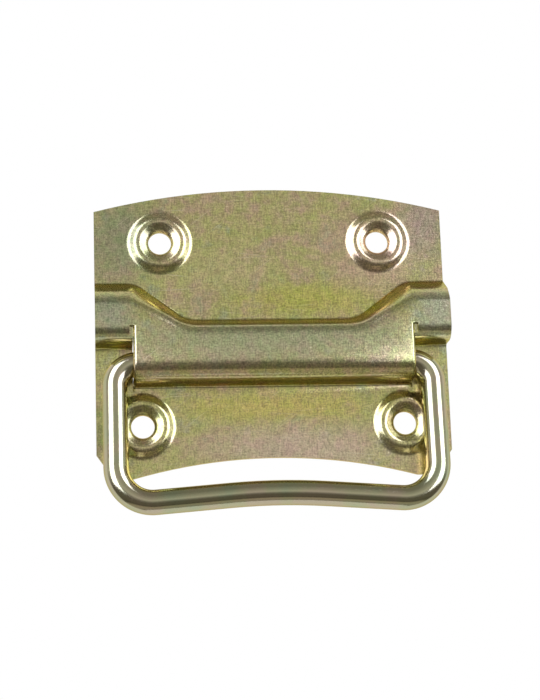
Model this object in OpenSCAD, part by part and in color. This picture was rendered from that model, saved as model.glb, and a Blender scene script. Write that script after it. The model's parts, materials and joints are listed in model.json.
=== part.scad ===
// Drop-type grab handle for a chest or case. A pressed sheet back plate has a raised channel, and the
// inturned ends of a bent round rod turn behind the channel's middle flap.
// Millimetres. The back face lies on the plane Y = 0 with the wall on the +Y side, +Z is up, and the origin
// is midway between the two upper screw holes.

/* [Back plate] */

// Full width of the plate
plate_width = 100; // [94:1:112]
// Height of the arched top edge's crown above the upper screw holes
top_rise = 15.7; // [13.5:0.1:20]
// Radius of the arched top edge
top_arc_r = 200; // [140:5:320]
// Depth of the lower corners below the upper screw holes
plate_drop = 67.9; // [65.5:0.1:74]
// Radius of the hollow bottom edge
bottom_arc_r = 150; // [140:5:300]
// Half the width that the hollow of the bottom edge spans
bottom_arc_half = 40; // [30:0.5:41]
// Width of the cut at each lower corner
corner_cut_w = 4.8; // [2:0.1:6]
// Height of the cut at each lower corner
corner_cut_h = 6.9; // [3:0.1:9]
// Thickness of the sheet
sheet = 1.5; // [1.2:0.1:1.8]

/* [Screw holes] */

// Distance between the two upper screw holes
upper_spacing = 62.6; // [58:0.1:70]
// Distance between the two lower screw holes
lower_spacing = 74; // [60:0.1:76]
// Height from the lower row of screw holes to the upper row
row_gap = 53.2; // [52.6:0.1:56]
// Diameter of each screw hole
screw_hole_d = 6.6; // [5:0.1:7]
// Outer radius of the raised ring round each screw hole
boss_r = 9.8; // [9.4:0.1:10.2]
// Height of the raised ring above the sheet
boss_h = 1.4; // [1:0.1:1.8]
// Slope of the outer side of the raised ring, in degrees
boss_slope = 35; // [30:1:42]
// Slope of the countersunk side of the raised ring, in degrees
sink_slope = 50; // [45:1:58]

/* [Channel] */

// Distance from the upper screw holes down to the channel at the plate's ends
channel_drop = 11.5; // [10.5:0.1:12.5]
// Height of the channel at the plate's ends, from foot to foot
end_height = 19.9; // [18.5:0.1:20.4]
// Length of the straight slant that the channel's upper foot drops by, which falls 3 in 4
slant_length = 12.1; // [10.5:0.1:13]
// Radius where the upper edge turns into the slant, at the middle
step_inner_r = 9; // [7:0.1:10]
// Radius where the upper edge turns out of the slant, at the ends
step_outer_r = 8.6; // [8.4:0.1:9.6]
// Distance from the middle to the centre of the slant's upper turn
step_half = 41.2; // [38:0.1:42]
// Outer radius of the bend from the upper wall onto the channel's face
upper_bend_r = 5; // [4:0.1:5.6]
// Slope of the channel's upper wall, in degrees
upper_slope = 70; // [66:1:76]
// Outer radius of the lower bend at the plate's ends
end_bend_r = 4.3; // [3.5:0.1:5]
// Radius of the small bend at the foot of every wall
foot_r = 0.8; // [0.5:0.1:1.1]

/* [Flap] */

// Width of the middle flap between its two cuts
flap_width = 79; // [72:0.5:81]
// Width of each cut beside the flap
cut_w = 0.2; // [0.2:0.1:0.8]
// Radius of the rolled edge that each cut leaves on the flap's face
edge_roll = 1.1; // [0.5:0.1:1.2]

/* [Handle] */

// Diameter of the rod
rod_d = 7; // [6:0.1:7.2]
// Distance from the pivot line to the lowest part of the bar's centre line
handle_reach = 39.3; // [37:0.1:48]
// Height of the pivot line below the upper screw holes
pivot_drop = 36.3; // [36:0.1:37]
// Gap between the rod and the flap that it turns in
pivot_play = 0.5; // [0.4:0.05:0.8]
// Gap between the legs and the sheet at the pivot line
leg_gap = 0.45; // [0.35:0.05:0.8]
// Gap between each leg and the flap's cut edge
side_play = 1.7; // [1:0.1:2.5]
// Bend radius of the rod's centre line below each leg
bottom_bend_r = 10; // [8:0.1:14]
// Radius of the shallow bow in the middle of the bar
bow_r = 180; // [120:5:220]
// Slope of the bar on each side of the bow, in degrees
bow_angle = 4.3; // [2:0.1:5]
// Straight length of each inturned end behind the flap
end_length = 26; // [18:1:32]
// Chamfer on each inturned end
end_chamfer = 0.5; // [0.2:0.1:1]

/* [Hidden] */

$fn = 64;

rod_r = rod_d / 2;
// How far a straight length of the rod reaches into the bends at its ends, and how much slimmer it is
seat = 0.05;
slim = 0.002;
// Half the width of the band where a pressed form runs on into the flat sheet round it
lip = 0.05;
// How far the straight parts of a section lap over the bends at their ends
seam = 0.01;
// How far the sheet is made past the plate's ends before it is cut to the plate's width
spare = 1;
// Distances in front of the back face
pivot_depth = sheet + leg_gap + rod_r;
face_height = pivot_depth + rod_r + pivot_play + sheet;
// The hook bends a little wider than the rod needs, so the rod comes nearest to it on the bend
hook_ease = 0.4;
hook_bend_r = rod_r + pivot_play + sheet + hook_ease;
bend_play = 0.75 * (pivot_play - (sqrt(2) - 1) * hook_ease);
// Widest bend of the rod's centre line above each leg that clears the flap's cut edge
top_bend_r = rod_r + bend_play + side_play + sqrt(2 * bend_play * side_play);
// Heights of the wall feet, measured from the upper screw holes
end_top = -channel_drop;
end_foot = end_top - end_height;
step_angle = atan2(3, 4);
turn_sum = step_inner_r + step_outer_r;
mid_step = 0.2 * turn_sum + 0.6 * slant_length;
mid_top = end_top - mid_step;
flap_foot = -pivot_drop - rod_r - pivot_play - sheet - foot_r;
// Half widths of the flap and of the hole that the cuts leave in the sheet
flap_half = flap_width / 2;
cut_half = flap_half + cut_w;
// Width of a sloped wall seen from the front, from its foot to the channel's face
upper_wall_w = wall_width(upper_bend_r, upper_slope);
end_wall_w = wall_width(end_bend_r, 90);
hook_wall_w = wall_width(hook_bend_r, 90);
// Centres of the two turns of the channel's upper edge
outer_turn = [step_half, end_top - step_outer_r];
inner_turn = [step_half - 0.6 * turn_sum - 0.8 * slant_length, mid_top + step_inner_r];
// Position and lean of the hanging handle, whose legs rest just in front of the lower rings
leg_x = flap_half + side_play + rod_r;
rest_gap = 0.15;
boss_front = sheet + boss_h + rest_gap + rod_r;
rest_lean = max(0, asin((boss_front - pivot_depth) / (row_gap - pivot_drop)));

// Width of a wall that rises from the sheet to the channel's face
function wall_width(bend_r, slope) =
    (foot_r + bend_r) * sin(slope) + wall_straight(bend_r, slope) * cos(slope);

// Length of the straight part of such a wall
function wall_straight(bend_r, slope) =
    (face_height - sheet - (foot_r + bend_r) * (1 - cos(slope))) / sin(slope);

// A point at a radius and angle from a centre
function polar(centre, r, angle) = centre + r * [cos(angle), sin(angle)];

back_plate();
bail_handle();

// The pressed sheet, drawn lying on its back and then stood up
module back_plate() {
    color("DarkKhaki")
        rotate([90, 0, 0])
            difference() {
                union() {
                    union() {
                        flat_land();
                        channel();
                    }
                    each_screw() boss();
                }
                each_screw()
                    translate([0, 0, -spare])
                        cylinder(d = screw_hole_d, h = sheet + boss_h + 2 * spare);
                both_sides()
                    translate([plate_width / 2, -plate_drop - spare, -spare])
                        cube([2 * spare, plate_drop + top_rise + 2 * spare, face_height + 2 * spare]);
            }
}

// The flat parts of the sheet above and below the channel
module flat_land() {
    linear_extrude(height = sheet)
        difference() {
            plate_outline();
            channel_footprint();
            each_screw() circle(r = boss_r + lip);
        }
}

// Outline of the plate with its arched top, hollow bottom and cut lower corners
module plate_outline() {
    arc_top = bottom_arc_r - sqrt(bottom_arc_r * bottom_arc_r - bottom_arc_half * bottom_arc_half);
    difference() {
        intersection() {
            translate([-plate_width / 2 - spare, -plate_drop])
                square([plate_width + 2 * spare, plate_drop + top_rise]);
            translate([0, top_rise - top_arc_r]) circle(r = top_arc_r);
        }
        translate([0, arc_top - plate_drop - bottom_arc_r]) circle(r = bottom_arc_r);
        both_sides() polygon([
            [plate_width / 2 - corner_cut_w, -plate_drop - spare],
            [plate_width / 2 + 2 * spare, -plate_drop - spare],
            [plate_width / 2 + 2 * spare, corner_cut_h - plate_drop],
            [plate_width / 2, corner_cut_h - plate_drop],
            [plate_width / 2 - corner_cut_w, -plate_drop]
        ]);
    }
}

// The area of the sheet that the channel takes up
module channel_footprint() {
    channel_area(-lip, plate_width / 2 + 2 * spare, cut_half, end_foot - lip, flap_foot - lip);
}

// The area below the stepped upper edge, lowered by a drop, down to one line beside the flap and one on it
module channel_area(drop, side_x, flap_x, side_y, flap_y) {
    both_sides() {
        difference() {
            polygon([
                [0, mid_top - drop],
                [inner_turn.x, mid_top - drop],
                inner_turn + (step_inner_r + drop) * [0.6, -0.8],
                outer_turn + (step_outer_r - drop) * [-0.6, 0.8],
                [outer_turn.x, end_top - drop],
                [side_x, end_top - drop],
                [side_x, side_y],
                [flap_x, side_y],
                [flap_x, flap_y],
                [0, flap_y]
            ]);
            translate(inner_turn) circle(r = step_inner_r + drop);
        }
        translate(outer_turn) circle(r = step_outer_r - drop);
    }
}

// The raised channel: its face, the stepped upper wall, the end walls and the flap's hook
module channel() {
    difference() {
        union() {
            union() {
                union() {
                    channel_face();
                    upper_wall();
                }
                end_walls();
            }
            flap_hook();
        }
        both_sides() rolled_edge();
    }
}

// The flat face of the channel
module channel_face() {
    translate([0, 0, face_height - sheet])
        linear_extrude(height = sheet)
            channel_area(
                upper_wall_w + lip,
                plate_width / 2 + spare,
                flap_half,
                end_foot + end_wall_w + lip,
                flap_foot + hook_wall_w + lip
            );
}

// The upper wall, swept along the middle and then out to each side
module upper_wall() {
    union() {
        translate([inner_turn.x, mid_top])
            wall_run(2 * inner_turn.x, upper_bend_r, upper_slope);
        stepped_wall();
    }
    mirror([1, 0, 0]) stepped_wall();
}

// The upper wall of one side: the inner turn, the slant, the outer turn and the plate's end
module stepped_wall() {
    union() {
        union() {
            union() {
                translate(inner_turn)
                    cut_at_slant(-plate_width)
                        rotate([0, 0, -90])
                            rotate_extrude(angle = 90)
                                translate([step_inner_r, 0])
                                    wall_section(upper_bend_r, upper_slope);
                translate(outer_turn + step_outer_r * [-0.6, 0.8])
                    rotate([0, 0, step_angle])
                        wall_run(slant_length, upper_bend_r, upper_slope);
            }
            translate(outer_turn)
                cut_at_slant(0)
                    rotate([0, 0, 90])
                        rotate_extrude(angle = 90)
                            translate([step_outer_r, 0])
                                mirror([1, 0])
                                    wall_section(upper_bend_r, upper_slope);
        }
        translate([plate_width / 2 + spare, end_top])
            wall_run(plate_width / 2 + spare - step_half, upper_bend_r, upper_slope);
    }
}

// Keeps the part of a quarter turn that lies on one side of the plane square to the slant
module cut_at_slant(start) {
    intersection() {
        children();
        rotate([0, 0, step_angle])
            translate([start, -plate_width / 2, -1])
                cube([plate_width, plate_width, face_height + 2]);
    }
}

// The short lower wall outside each cut
module end_walls() {
    both_sides()
        translate([cut_half, end_foot])
            rotate([0, 0, 180])
                wall_run(plate_width / 2 + spare - cut_half, end_bend_r, 90);
}

// The flap's lower wall, which hooks round the rod
module flap_hook() {
    translate([-flap_half, flap_foot])
        rotate([0, 0, 180])
            wall_run(flap_width, hook_bend_r, 90);
}

// Cutter for the rolled edge along one cut: down the face, round the bend and down the hook
module rolled_edge() {
    bend_y = flap_foot + hook_wall_w;
    cut_top = end_foot + end_wall_w;
    bend_z = face_height - hook_bend_r;
    translate([flap_half, cut_top, face_height])
        rotate([90, 0, 0])
            linear_extrude(height = cut_top - bend_y)
                roll_section();
    translate([flap_half, bend_y, bend_z])
        rotate([0, 90, 0])
            rotate([0, 0, 180])
                rotate_extrude(angle = 90)
                    translate([hook_bend_r, 0])
                        roll_section();
    translate([flap_half, bend_y - hook_bend_r, sheet + foot_r])
        linear_extrude(height = bend_z - sheet - foot_r)
            mirror([0, 1])
                roll_section();
}

// Waste outside a rounded corner at the origin, with the metal to the left and below
module roll_section() {
    difference() {
        translate([-edge_roll, -edge_roll]) square(edge_roll + 1);
        translate([-0.98 * edge_roll, -0.98 * edge_roll]) circle(r = edge_roll);
    }
}

// A straight length of wall that ends at the origin and runs towards -X, falling towards -Y
module wall_run(length, bend_r, slope) {
    rotate([90, 0, -90])
        linear_extrude(height = length)
            wall_section(bend_r, slope);
}

// Section of a wall of the sheet: the foot bend, the straight part and the bend onto the face
module wall_section(bend_r, slope) {
    wall_w = wall_width(bend_r, slope);
    foot = [0, sheet + foot_r];
    bend = [wall_w, face_height - bend_r];
    foot_mid = foot_r + sheet / 2;
    bend_mid = bend_r - sheet / 2;
    face_mid = face_height - sheet / 2;
    union() {
        union() {
            union() {
                union() {
                    straight_sheet([-2 * lip, sheet / 2], [0, sheet / 2]);
                    bent_sheet(foot, foot_mid, slope - 90, -90);
                }
                straight_sheet(polar(foot, foot_mid, slope - 90), polar(bend, bend_mid, slope + 90));
            }
            bent_sheet(bend, bend_mid, 90, slope + 90);
        }
        straight_sheet([wall_w, face_mid], [wall_w + 2 * lip, face_mid]);
    }
}

// Section of a bend of the sheet between two angles, with the given radius at half its thickness
module bent_sheet(centre, mid_r, angle_a, angle_b) {
    reach = 3 * (mid_r + sheet);
    intersection() {
        translate(centre)
            difference() {
                circle(r = mid_r + sheet / 2);
                circle(r = mid_r - sheet / 2);
            }
        polygon([centre, polar(centre, reach, angle_a), polar(centre, reach, angle_b)]);
    }
}

// Section of a straight part of the sheet between two points at half its thickness, with a lap at its ends
module straight_sheet(a, b, lap = 0) {
    along = (b - a) / norm(b - a);
    across = [-along.y, along.x] * sheet / 2;
    start = a - lap * along;
    stop = b + lap * along;
    polygon([start - across, stop - across, stop + across, start + across]);
}

// The raised ring round a screw hole, countersunk towards the hole
module boss() {
    crest_r = 2.2;
    base_r = 2.5;
    rise = boss_h - (crest_r + base_r) * (1 - cos(boss_slope));
    run = (crest_r + base_r) * sin(boss_slope) + rise / tan(boss_slope);
    base = [boss_r, sheet + base_r];
    crest = [boss_r - run, sheet + boss_h - crest_r];
    base_mid = base_r + sheet / 2;
    crest_mid = crest_r - sheet / 2;
    rotate_extrude() {
        union() {
            union() {
                union() {
                    straight_sheet([boss_r, sheet / 2], [boss_r + 2 * lip, sheet / 2]);
                    bent_sheet(base, base_mid, -90, -90 - boss_slope);
                }
                straight_sheet(
                    polar(base, base_mid, -90 - boss_slope),
                    polar(crest, crest_mid, 90 - boss_slope),
                    seam
                );
            }
            bent_sheet(crest, crest_mid, 90 - boss_slope, 90 + sink_slope);
        }
        sink_section(crest, crest_r);
    }
}

// Section of the countersunk side of the raised ring, from its crest down to the back and in to the hole
module sink_section(crest, crest_r) {
    floor_h = 0.5;
    front = polar(crest, crest_r, sink_slope + 90);
    back = polar(crest, crest_r - sheet, sink_slope + 90);
    lap = seam * [cos(sink_slope), sin(sink_slope)];
    polygon([
        [1, 0],
        [back.x - back.y / tan(sink_slope), 0],
        back + lap,
        front + lap,
        [front.x - (front.y - floor_h) / tan(sink_slope), floor_h],
        [1, floor_h]
    ]);
}

// Places its child at each of the four screw holes
module each_screw() {
    for (side = [-1, 1]) {
        translate([side * upper_spacing / 2, 0]) children();
        translate([side * lower_spacing / 2, -row_gap]) children();
    }
}

// Draws its children as they are and mirrored to the left
module both_sides() {
    children();
    mirror([1, 0, 0]) children();
}

// The bent rod, hanging at rest with its legs just in front of the lower rings
module bail_handle() {
    corner_z = bottom_bend_r - handle_reach;
    corner_x = leg_x - bottom_bend_r;
    bow_half = bow_r * sin(bow_angle);
    bar_length = (corner_x - bottom_bend_r * sin(bow_angle) - bow_half) / cos(bow_angle);
    bar_end = [corner_x - bottom_bend_r * sin(bow_angle), corner_z - bottom_bend_r * cos(bow_angle)];
    bow_top = bar_end.y + bar_length * sin(bow_angle) + bow_r * (1 - cos(bow_angle));
    color("Gold")
        translate([0, -pivot_depth, -pivot_drop])
            rotate([-rest_lean, 0, 0]) {
                union() {
                    bowed_bar(bar_end, bar_length, bow_top);
                    rod_side(corner_x, corner_z);
                }
                mirror([1, 0, 0]) rod_side(corner_x, corner_z);
            }
}

// One side of the rod: the bend below the leg, the leg, the bend above it and the inturned end
module rod_side(corner_x, corner_z) {
    union() {
        union() {
            translate([corner_x, 0, corner_z])
                rod_bend(bottom_bend_r, -90 - bow_angle, 90 + bow_angle);
            translate([leg_x, 0, corner_z - seat])
                cylinder(r = rod_r - slim, h = -corner_z - top_bend_r + 2 * seat);
        }
        translate([leg_x - top_bend_r, 0, -top_bend_r])
            rod_bend(top_bend_r, 0, 90);
    }
    translate([leg_x - top_bend_r + seat, 0, 0])
        rotate([0, -90, 0])
            rod_end();
}

// The bar that the hand holds: a shallow bow with a straight slope on each side of it
module bowed_bar(bar_end, bar_length, bow_top) {
    union() {
        translate([0, 0, bow_top - bow_r])
            rod_bend(bow_r, 90 - bow_angle, 2 * bow_angle);
        bar_slope(bar_end, bar_length);
    }
    mirror([1, 0, 0]) bar_slope(bar_end, bar_length);
}

// One straight slope of the bar, from its outer end up to the bow
module bar_slope(bar_end, bar_length) {
    translate([bar_end.x, 0, bar_end.y])
        rotate([0, -90 + bow_angle, 0])
            translate([0, 0, -seat])
                cylinder(r = rod_r - slim, h = bar_length + 2 * seat);
}

// A bend of the rod in the XZ plane, from a start angle through a sweep
module rod_bend(bend_r, start, sweep) {
    rotate([90, 0, 0])
        rotate([0, 0, start])
            rotate_extrude(angle = sweep)
                translate([bend_r, 0])
                    circle(r = rod_r);
}

// One inturned end of the rod, chamfered where it was cut off
module rod_end() {
    shank = end_length + seat - end_chamfer;
    cylinder(r = rod_r - slim, h = shank);
    translate([0, 0, shank])
        cylinder(r1 = rod_r - slim, r2 = rod_r - end_chamfer, h = end_chamfer);
}
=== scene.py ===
"""A yellow-passivated drop handle for a chest: its finish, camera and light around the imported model.

Metres, in the model's own frame: the plate's back face lies on Y = 0 with the wall on the +Y side, +Z is up,
and the origin is midway between the two upper screw holes.
"""

import json
import math

import bmesh
import bpy
from mathutils import Matrix, Vector


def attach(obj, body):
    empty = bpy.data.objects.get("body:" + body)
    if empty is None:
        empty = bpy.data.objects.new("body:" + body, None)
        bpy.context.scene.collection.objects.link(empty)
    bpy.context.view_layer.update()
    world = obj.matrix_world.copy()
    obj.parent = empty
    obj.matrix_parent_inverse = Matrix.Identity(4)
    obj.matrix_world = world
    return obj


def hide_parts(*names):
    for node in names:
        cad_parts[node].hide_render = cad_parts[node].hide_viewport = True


MM = 0.001

# Camera and light

# The photograph's camera, to the left of the plate's middle and below it, in degrees and metres
CAMERA_AZIMUTH = 5.67
CAMERA_ELEVATION = -13.0
CAMERA_ROLL = 1.93
CAMERA_DISTANCE = 0.54
CAMERA_TARGET = Vector((0, 0, -30 * MM))

# Its lens and sensor in millimetres, and the lens's shift as a share of the picture's longer side
LENS = 97.69
SENSOR = 36
LENS_SHIFT = (-0.0025, -0.0066)

# The two panels of daylight: how many metres away, how bright, and their colour, bluer than the room's
PANEL_DISTANCE = 0.8
PANEL_RADIANCE = 3.6
PANEL_COLOUR = (0.93, 0.98, 1.22)

# The room that the metal shows, from straight below to straight above
ROOM_TONES = [
    (0.00, "#7A766C"),
    (0.03, "#A8A49A"),
    (0.10, "#B0A896"),
    (0.135, "#5A564E"),
    (0.22, "#6E6A60"),
    (0.35, "#6A665E"),
    (0.44, "#8C8A86"),
    (0.56, "#D0CECA"),
    (0.66, "#BAB8B2"),
    (0.90, "#8A8880"),
    (1.00, "#8C8A80"),
]

# The pale backdrop behind the plate: how far towards the wall a direction points where it begins and where
# it is full, how bright it is, and how much of its white the metal shows
BACKDROP_BEGINS, BACKDROP_FULL = -0.05, 0.10
BACKDROP_LIGHT = 0.80
BACKDROP_IN_METAL = 0.5

# The floor's height and radius in metres, its sides, and how much it glows where it is seen
FLOOR_HEIGHT = -0.8
FLOOR_RADIUS = 0.17
FLOOR_SIDES = 96
FLOOR_GLOW = 0.4

# Shapes, in millimetres

# How near points lie that are one, or that lie on the same line of the plate
SAME_POINT = 0.001
SAME_LINE = 0.006

# The sheet's thickness
SHEET = 1.5

# How far the channel's upper bend is drawn down at the plate's ends, and the spans over which that grows
# from nothing: across the plate, forwards from its back face, and up the channel
BEND_DRAW = 2.4
DRAW_ACROSS = (28, 37)
DRAW_FORWARDS = (4.5, 10.9)
DRAW_UP = (-24, -15)

# The ring round each screw hole: its crest's radius, height and rounding, the slope of the dish inside it,
# and the small drop at the hole's edge, with the width of that edge
CREST_RADIUS = 6.36
CREST_HEIGHT = 2.9
CREST_ROUND = 2.2
DISH_SLOPE = math.radians(27)
EDGE_DROP = 0.3
EDGE_WIDTH = 0.1

# What the dish leaves alone: all that lies less far forwards than the back's depth, and the underside of the
# ring, which lies past a radius and less far forwards than its own depth
BACK_DEPTH = 0.3
UNDERSIDE_RADIUS = 5.1
UNDERSIDE_DEPTH = 1.3

# Half the flap's width, the cut beside it with its lower and upper end, and the hairline that is left of it
FLAP_EDGE = 39.5
CUT_WIDTH = 0.2
CUT_BOTTOM, CUT_TOP = -43.4, -24
HAIRLINE = 0.03

# The roll along the flap's sheared front edges, with its lower and upper end
ROLL_WIDTH = 0.45
ROLL_STEPS = 3
ROLL_BOTTOM, ROLL_TOP = -44, -24.5

# A face of a sheared end points sideways by at least the first of these. A face of the front points sideways
# by less than the second, and forwards by more.
END_SIDEWAYS = 0.9
FRONT_SIDEWAYS = 0.3

# Faces that meet at less than this angle are one smooth surface
SMOOTH_ANGLE = math.radians(35)

# Finish, in millimetres and shares of 1

# The chromate film is thicker and thinner over clouds, with patches within them, and mottled on top
CLOUD = 11
CLOUD_SHARE = 0.6
PATCH = 3.5
PATCH_SHARE = 0.4
MOTTLE = 2.6
MOTTLE_SHARE = 0.22
ROD_CLOUD = 9

# The sheet's colours from its film's thinnest to its thickest, the mottle's, and the rod's
FILM_TINTS = [
    (0.34, "#CCD2A8"),
    (0.43, "#DEDC8E"),
    (0.50, "#E2D898"),
    (0.58, "#E8CEA8"),
    (0.66, "#D2D0A8"),
]
MOTTLE_TINTS = [(0.36, "#C6D888"), (0.50, "#E0D89E"), (0.64, "#EEC8AE")]
ROD_TINTS = [(0.36, "#B0B796"), (0.50, "#BBB896"), (0.60, "#C0B49A")]

# Where the sheet's film is thicker or thinner: the centre and reach of each zone, and its tint
FILM_ZONES = [
    ((12, 0, -17), (28, 30, 7), "#E8E670"),
    ((-12, 0, -8), (16, 30, 8), "#EAE0A0"),
    ((30, 0, -4), (17, 30, 14), "#F0CCB4"),
    ((-42, 0, 2), (14, 30, 18), "#AAB490"),
    ((45, 0, 6), (9, 30, 16), "#CDB6AE"),
    ((0, 0, -48), (38, 30, 6), "#F4E67C"),
    ((8, 0, -60), (34, 30, 9), "#FCE2CC"),
    ((0, -12, -30), (64, 6, 10), "#CFD6B0"),
    ((-46, -12, -22), (9, 6, 12), "#BECAB0"),
    ((46, -12, -22), (9, 6, 12), "#DAE2C8"),
    ((-46, 0, -56), (9, 30, 13), "#94A468"),
]

# A zone is full within the inner share of its reach and gone past the outer one, once the patches have added
# their part of a ragged edge. Where it is full, it hides this much of the film under it.
ZONE_INNER, ZONE_OUTER = 0.6, 1.6
ZONE_RAGGED = 0.9
ZONE_STRENGTH = 0.85

# Rolling grain and the plating's specks are about 0.05 mm wide, and scratches about 0.02 mm. That is too
# fine to show in the render, so all are drawn coarser.
GRAIN_WIDTH = 0.34
GRAIN_LENGTH = 1.7
SPECK = 0.5
UPRIGHT_SHARE, LEVEL_SHARE, SPECK_SHARE = 0.3, 0.25, 0.45
SCRATCH_WIDTH = 0.22
SCRATCH_LENGTH = 19.8

# Directions of the fine scratches left by handling, in degrees from level
SCRATCH_TURNS = (-6, 3, 38)

# How far the grain darkens the film, and how much a scratch shows
GRAIN_SHADES = [(0.38, 0.54), (0.60, 1.0)]
SCRATCH_MARKS = [(0.70, 0.0), (0.78, 0.5)]
SCRATCH_COLOUR = "#F0E6C8"

# The colour of the metal's glancing shine
SHINE = "#E4D6AC"

# Most of what a noise gives lies between these
NOISE_LOW, NOISE_HIGH = 0.3, 0.7

# The sockets of a Mix node that mixes colours
FACTOR, UNDER, OVER = 0, 6, 7

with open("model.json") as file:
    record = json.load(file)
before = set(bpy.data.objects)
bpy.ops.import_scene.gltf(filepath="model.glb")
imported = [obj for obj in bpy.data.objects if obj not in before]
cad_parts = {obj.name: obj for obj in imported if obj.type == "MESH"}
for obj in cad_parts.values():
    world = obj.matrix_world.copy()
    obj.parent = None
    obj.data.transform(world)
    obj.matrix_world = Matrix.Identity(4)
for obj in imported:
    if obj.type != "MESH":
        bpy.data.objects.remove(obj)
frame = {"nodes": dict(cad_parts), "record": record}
bpy.context.view_layer.update()


def linear(colour):
    """The linear colour, as a shader takes it, of an sRGB hex code or of a plain linear grey."""
    if not isinstance(colour, str):
        return [colour, colour, colour, 1.0]
    parts = [int(colour[i:i + 2], 16) / 255 for i in (1, 3, 5)]
    return [c / 12.92 if c <= 0.04045 else ((c + 0.055) / 1.055) ** 2.4 for c in parts] + [1.0]


def add(tree, kind, settings=None, stops=()):
    """Adds a node with its settings, which are options, and values or links for its sockets. A linked node
    stands for its first output in use. A ramp gets its colour stops too."""
    node = tree.nodes.new("ShaderNode" + kind)
    for key, value in (settings or {}).items():
        if isinstance(value, bpy.types.Node):
            value = next(output for output in value.outputs if output.enabled)
        if isinstance(value, bpy.types.NodeSocket):
            tree.links.new(value, node.inputs[key])
        elif isinstance(key, int) or key in node.inputs:
            node.inputs[key].default_value = value
        else:
            setattr(node, key, value)
    if stops:
        ramp = node.color_ramp.elements
        while len(ramp) < len(stops):
            ramp.new(1.0)
        for element, (place, colour) in zip(ramp, stops):
            element.position = place
            element.color = linear(colour)
    return node


def new_material(name):
    """An empty node material, its nodes, and its object coordinates in millimetres."""
    material = bpy.data.materials.new(name)
    material.use_nodes = True
    tree = material.node_tree
    tree.nodes.clear()
    metres = add(tree, "TexCoord").outputs["Object"]
    place = add(tree, "VectorMath", {"operation": "SCALE", "Scale": 1 / MM, 0: metres})
    return material, tree, place


def layered(tree, layers):
    """The sum of some layers, each times its share."""
    total = 0.0
    for layer, share in layers:
        total = add(tree, "Math", {"operation": "MULTIPLY_ADD", 0: layer, 1: share, 2: total})
    return total


def streaks(tree, place, size, detail, turn=0):
    """Streaks of a size along each axis, turned on the plate's face by some degrees."""
    way = (0, math.radians(-turn), 0)
    laid = add(tree, "Mapping", {"vector_type": "TEXTURE", "Vector": place, "Rotation": way, "Scale": size})
    return add(tree, "TexNoise", {"Vector": laid, "Scale": 1.0, "Detail": detail})


def zone(tree, place, centre, size, ragged):
    """How much a zone of the film shows: most at its centre, and nothing past its ragged edge."""
    within = add(
        tree,
        "Mapping",
        {"vector_type": "TEXTURE", "Vector": place, "Location": centre, "Scale": size},
    )
    reach = add(tree, "VectorMath", {"operation": "LENGTH", 0: within})
    return add(
        tree,
        "MapRange",
        {
            "interpolation_type": "SMOOTHSTEP",
            "Value": layered(tree, [(reach, 1.0), (ragged, ZONE_RAGGED)]),
            "From Min": ZONE_OUTER,
            "From Max": ZONE_INNER,
            "To Max": ZONE_STRENGTH,
        },
    )


def sheet_film(tree, place):
    """The sheet's chromate film, which drifts between yellow-green, straw and pink."""
    clouds = add(tree, "TexNoise", {"Vector": place, "Scale": 1 / CLOUD, "Detail": 2})
    patches = add(tree, "TexNoise", {"Vector": place, "Scale": 1 / PATCH, "Detail": 3, "Roughness": 0.6})
    thickness = layered(tree, [(clouds, CLOUD_SHARE), (patches, PATCH_SHARE)])
    film = add(tree, "ValToRGB", {"Fac": thickness}, FILM_TINTS)
    for centre, size, tint in FILM_ZONES:
        share = zone(tree, place, centre, size, patches)
        film = add(tree, "Mix", {"data_type": "RGBA", FACTOR: share, UNDER: film, OVER: linear(tint)})
    mottle = add(tree, "TexNoise", {"Vector": place, "Scale": 1 / MOTTLE, "Detail": 3})
    tinge = add(tree, "ValToRGB", {"Fac": mottle}, MOTTLE_TINTS)
    return add(tree, "Mix", {"data_type": "RGBA", FACTOR: MOTTLE_SHARE, UNDER: film, OVER: tinge})


def plating_specks(tree, place):
    """The plating's fine specks."""
    return add(tree, "TexNoise", {"Vector": place, "Scale": 1 / SPECK, "Detail": 3})


def rolled_grain(tree, place):
    """The sheet's fine cross grain: upright and level streaks among the plating's specks."""
    upright = streaks(tree, place, (GRAIN_WIDTH, GRAIN_WIDTH, GRAIN_LENGTH), detail=2)
    level = streaks(tree, place, (GRAIN_LENGTH, GRAIN_WIDTH, GRAIN_WIDTH), detail=2)
    specks = plating_specks(tree, place)
    return layered(tree, [(upright, UPRIGHT_SHARE), (level, LEVEL_SHARE), (specks, SPECK_SHARE)])


def scratched(tree, place, film):
    """The film with fine pale scratches across it, in a few directions."""
    pale = linear(SCRATCH_COLOUR)
    for turn in SCRATCH_TURNS:
        line = streaks(tree, place, (SCRATCH_LENGTH, SCRATCH_WIDTH, SCRATCH_WIDTH), detail=1, turn=turn)
        mark = add(tree, "ValToRGB", {"Fac": line}, SCRATCH_MARKS)
        film = add(tree, "Mix", {"data_type": "RGBA", FACTOR: mark, UNDER: film, OVER: pale})
    return film


def zinc_plating(tree, film, texture, roughness, relief, depth):
    """Zinc plating under its film. A fine texture takes it through a span of roughness, and raises it by a
    small depth."""
    smoothest, roughest = roughness
    rough = add(
        tree,
        "MapRange",
        {
            "Value": texture,
            "From Min": NOISE_LOW,
            "From Max": NOISE_HIGH,
            "To Min": smoothest,
            "To Max": roughest,
        },
    )
    bump = add(tree, "Bump", {"Height": texture, "Strength": relief, "Distance": depth * MM})
    shader = add(
        tree,
        "BsdfPrincipled",
        {
            "Base Color": film,
            "Metallic": 1.0,
            "Specular Tint": linear(SHINE),
            "Roughness": rough,
            "Normal": bump,
        },
    )
    add(tree, "OutputMaterial", {"Surface": shader})


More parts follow.
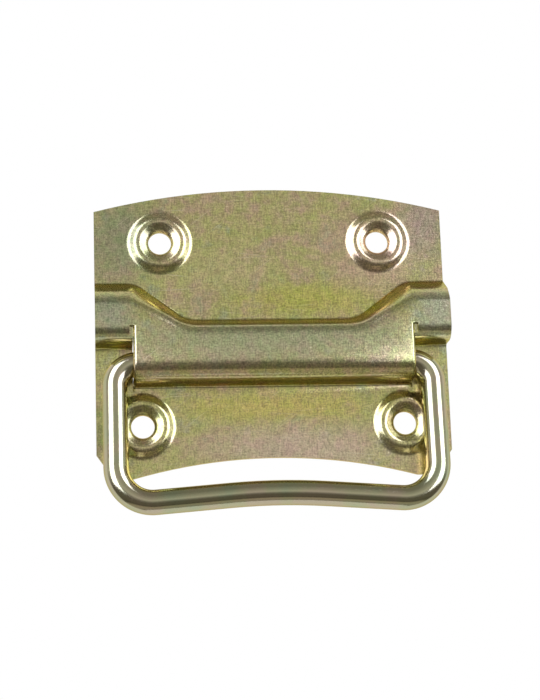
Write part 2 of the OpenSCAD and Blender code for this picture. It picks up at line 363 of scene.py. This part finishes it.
def passivated_sheet():
    """Zinc plating on cold-rolled sheet with a yellow chromate film: a satin metal whose film drifts between
    yellow-green, straw and pink, with the fine cross grain that rolling leaves and a few pale scratches."""
    material, tree, place = new_material("yellow_passivated_sheet")
    grain = rolled_grain(tree, place)
    shade = add(tree, "ValToRGB", {"Fac": grain}, GRAIN_SHADES)
    film = sheet_film(tree, place)
    darkening = {"data_type": "RGBA", "blend_type": "MULTIPLY", FACTOR: 1.0, UNDER: film, OVER: shade}
    film = scratched(tree, place, add(tree, "Mix", darkening))
    zinc_plating(tree, film, grain, roughness=(0.18, 0.28), relief=0.3, depth=0.03)
    return material


def passivated_wire():
    """Zinc plating on drawn steel rod with a yellow chromate film: greyer and smoother than the sheet, so
    that it shows crisp streaks of light along its length."""
    material, tree, place = new_material("yellow_passivated_wire")
    clouds = add(tree, "TexNoise", {"Vector": place, "Scale": 1 / ROD_CLOUD, "Detail": 3})
    film = add(tree, "ValToRGB", {"Fac": clouds}, ROD_TINTS)
    specks = plating_specks(tree, place)
    zinc_plating(tree, film, specks, roughness=(0.12, 0.20), relief=0.15, depth=0.01)
    return material


def deselect():
    """Leaves nothing selected."""
    bpy.ops.object.select_all(action="DESELECT")


def merged_copy(node, name, material):
    """A merged copy of a CAD node in its finish, selected and active."""
    piece = bpy.data.objects.new(name, frame["nodes"][node].data.copy())
    bpy.context.scene.collection.objects.link(piece)
    deselect()
    bpy.context.view_layer.objects.active = piece
    piece.select_set(True)
    bpy.ops.mesh.customdata_custom_splitnormals_clear()
    bpy.ops.object.mode_set(mode="EDIT")
    bpy.ops.mesh.select_all(action="SELECT")
    bpy.ops.mesh.remove_doubles(threshold=SAME_POINT * MM)
    bpy.ops.object.mode_set(mode="OBJECT")
    piece.data.materials.clear()
    piece.data.materials.append(material)
    return piece


def in_mm(vertex):
    """A vertex's place in millimetres."""
    return [c / MM for c in vertex.co]


def smooth_step(span, value):
    """0 before a span, 1 past it and a smooth rise along it."""
    start, end = span
    t = min(1, max(0, (value - start) / (end - start)))
    return t * t * (3 - 2 * t)


def draw_bend_down(piece):
    """Widens the channel's upper bend towards the plate's ends, by sliding the channel's front down there.
    The sheet's back slides with the front that it lies behind."""
    turned_back = [max(0, vertex.normal.y) for vertex in piece.data.vertices]
    for vertex, back in zip(piece.data.vertices, turned_back):
        x, y, z = in_mm(vertex)
        across = smooth_step(DRAW_ACROSS, abs(x))
        forwards = smooth_step(DRAW_FORWARDS, SHEET * back - y)
        upwards = smooth_step(DRAW_UP, z)
        vertex.co.z -= BEND_DRAW * across * forwards * upwards * MM


def dish_rings(piece):
    """Gives the ring round each screw hole its shallow dish, from the crest to the hole."""
    start = CREST_RADIUS - CREST_ROUND * math.sin(DISH_SLOPE)
    height = CREST_HEIGHT - CREST_ROUND * (1 - math.cos(DISH_SLOPE))
    for mount in frame["record"]["mounts"]:
        if mount["kind"] != "bolt_pattern":
            continue
        hole_x = mount["dims"]["spacing_x_mm"] / 2
        hole_z = mount["pos_m"][2] / MM
        edge = mount["dims"]["hole_r_mm"] + EDGE_WIDTH
        for vertex in piece.data.vertices:
            x, y, z = in_mm(vertex)
            reach = math.hypot(abs(x) - hole_x, z - hole_z)
            underside = reach > UNDERSIDE_RADIUS and y > -UNDERSIDE_DEPTH
            if reach < start and y < -BACK_DEPTH and not underside:
                drop = (start - reach) * math.tan(DISH_SLOPE) + (EDGE_DROP if reach < edge else 0)
                vertex.co.y = (drop - height) * MM


def close_cuts(piece):
    """Closes the sheared cuts beside the flap to a hairline."""
    for vertex in piece.data.vertices:
        x, _, z = in_mm(vertex)
        if abs(abs(x) - FLAP_EDGE - CUT_WIDTH) < SAME_LINE and CUT_BOTTOM < z < CUT_TOP:
            vertex.co.x = math.copysign(FLAP_EDGE + HAIRLINE, x) * MM


def on_flap_end(vertex):
    """Whether a vertex lies on one of the flap's two sheared ends."""
    x, _, z = in_mm(vertex)
    return abs(abs(x) - FLAP_EDGE) < SAME_LINE and ROLL_BOTTOM < z < ROLL_TOP


def roll_flap_edges(piece):
    """Rolls over the front edges of the flap's two sheared ends."""
    bpy.ops.object.mode_set(mode="EDIT")
    bpy.ops.mesh.select_all(action="DESELECT")
    bpy.ops.mesh.select_mode(type="EDGE")
    mesh = bmesh.from_edit_mesh(piece.data)
    for edge in mesh.edges:
        if len(edge.link_faces) == 2 and all(on_flap_end(vertex) for vertex in edge.verts):
            normals = [face.normal for face in edge.link_faces]
            end, front = sorted(normals, key=lambda normal: -abs(normal.x))
            faces_front = abs(front.x) < FRONT_SIDEWAYS and front.y < -FRONT_SIDEWAYS
            edge.select = abs(end.x) > END_SIDEWAYS and faces_front
    mesh.select_flush_mode()
    bmesh.update_edit_mesh(piece.data)
    bpy.ops.mesh.bevel(offset=ROLL_WIDTH * MM, segments=ROLL_STEPS, affect="EDGES", clamp_overlap=False)
    bpy.ops.object.mode_set(mode="OBJECT")


def dress_plate():
    """The pressed plate."""
    piece = merged_copy("back_plate", "pressed_plate", passivated_sheet())
    draw_bend_down(piece)
    dish_rings(piece)
    close_cuts(piece)
    roll_flap_edges(piece)
    bpy.ops.object.shade_smooth_by_angle(angle=SMOOTH_ANGLE)
    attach(piece, "plate")
    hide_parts("back_plate")


def dress_rod():
    """The bent rod."""
    piece = merged_copy("bail_handle", "bent_rod", passivated_wire())
    bpy.ops.object.shade_smooth_by_angle(angle=SMOOTH_ANGLE)
    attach(piece, "handle")
    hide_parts("bail_handle")


def direction(azimuth, elevation):
    """The direction towards a point in front of the plate, in degrees to the right of its middle and up."""
    a, e = math.radians(azimuth), math.radians(elevation)
    return Vector((math.sin(a) * math.cos(e), -math.cos(a) * math.cos(e), math.sin(e)))


def make_camera():
    """The photograph's camera, with its small roll."""
    towards = direction(-CAMERA_AZIMUTH, CAMERA_ELEVATION)
    right = direction(90 - CAMERA_AZIMUTH, 0)
    up = towards.cross(right)
    roll = Matrix.Rotation(math.radians(-CAMERA_ROLL), 3, towards)
    turned = Matrix((roll @ right, roll @ up, towards)).transposed().to_4x4()
    camera = bpy.data.objects.new("camera", bpy.data.cameras.new("camera"))
    camera.data.lens = LENS
    camera.data.sensor_width = SENSOR
    camera.data.shift_x, camera.data.shift_y = LENS_SHIFT
    camera.matrix_world = Matrix.Translation(CAMERA_TARGET + CAMERA_DISTANCE * towards) @ turned
    bpy.context.scene.collection.objects.link(camera)
    bpy.context.scene.camera = camera


def daylight_panel(name, azimuths, elevations):
    """A soft panel of light that fills a span of directions in front of the plate, in degrees."""
    middle = direction(sum(azimuths) / 2, sum(elevations) / 2)
    halves = [math.radians(end - start) / 2 for start, end in (azimuths, elevations)]
    width, height = (2 * PANEL_DISTANCE * math.tan(half) for half in halves)
    lamp = bpy.data.lights.new(name, "AREA")
    lamp.shape = "RECTANGLE"
    lamp.size, lamp.size_y = width, height
    lamp.energy = PANEL_RADIANCE * math.pi * width * height
    lamp.color = PANEL_COLOUR
    panel = bpy.data.objects.new(name, lamp)
    panel.location = CAMERA_TARGET + PANEL_DISTANCE * middle
    panel.rotation_euler = middle.to_track_quat("Z", "Y").to_euler()
    bpy.context.scene.collection.objects.link(panel)


def seen_and_mirrored(tree):
    """Two switches: one for what the camera sees straight, and one for what metal or glass shows of it."""
    rays = add(tree, "LightPath").outputs
    either = {"operation": "MAXIMUM", 0: rays["Is Glossy Ray"], 1: rays["Is Transmission Ray"]}
    return rays["Is Camera Ray"], add(tree, "Math", either)


def make_world():
    """A white background, with the dimmer room in front of the plate that the metal shows."""
    world = bpy.data.worlds.new("studio")
    bpy.context.scene.world = world
    world.use_nodes = True
    tree = world.node_tree
    tree.nodes.clear()
    way = add(tree, "SeparateXYZ", {0: add(tree, "TexCoord").outputs["Generated"]}).outputs
    height = add(tree, "MapRange", {"Value": way["Z"], "From Min": -1.0, "From Max": 1.0})
    room = add(tree, "ValToRGB", {"Fac": height}, ROOM_TONES)
    behind = add(
        tree,
        "MapRange",
        {"Value": way["Y"], "From Min": BACKDROP_BEGINS, "From Max": BACKDROP_FULL},
    )
    backdrop = linear(BACKDROP_LIGHT)
    light = add(tree, "Mix", {"data_type": "RGBA", FACTOR: behind, UNDER: room, OVER: backdrop})
    seen, mirrored = seen_and_mirrored(tree)
    mirrored = add(tree, "Math", {"operation": "MULTIPLY", 0: mirrored, 1: behind})
    mirrored = add(tree, "Math", {"operation": "MULTIPLY", 0: mirrored, 1: BACKDROP_IN_METAL})
    white = add(tree, "Math", {"operation": "MAXIMUM", 0: seen, 1: mirrored})
    shown = add(tree, "Mix", {"data_type": "RGBA", FACTOR: white, UNDER: light, OVER: linear(1.0)})
    background = add(tree, "Background", {"Color": shown, "Strength": 1.0})
    add(tree, "OutputWorld", {"Surface": background})


def matt_card():
    """Matt white card, which takes a soft shadow and glows a little where it is seen."""
    material, tree, _ = new_material("matt_white_card")
    card = add(tree, "BsdfDiffuse", {"Color": linear("#F2F1EE")})
    glow = add(tree, "Emission", {"Color": linear("#FFFFFF")})
    seen, mirrored = seen_and_mirrored(tree)
    shown = add(tree, "Math", {"operation": "MAXIMUM", 0: seen, 1: mirrored})
    share = add(tree, "Math", {"operation": "MULTIPLY", 0: shown, 1: FLOOR_GLOW})
    mix = add(tree, "MixShader", {0: share, 1: card, 2: glow})
    add(tree, "OutputMaterial", {"Surface": mix})
    return material


def make_floor():
    """A plain pale floor well below the handle."""
    deselect()
    bpy.ops.mesh.primitive_circle_add(
        vertices=FLOOR_SIDES,
        radius=FLOOR_RADIUS,
        fill_type="NGON",
        location=(0, 0, FLOOR_HEIGHT),
    )
    floor = bpy.context.object
    floor.name = "pale_floor"
    floor.data.materials.append(matt_card())


bpy.context.scene.view_settings.view_transform = "Standard"
make_camera()
make_world()
daylight_panel("left_panel", azimuths=(-63, -26), elevations=(-12, 50))
daylight_panel("right_panel", azimuths=(28, 62), elevations=(-12, 43))
make_floor()
dress_plate()
dress_rod()
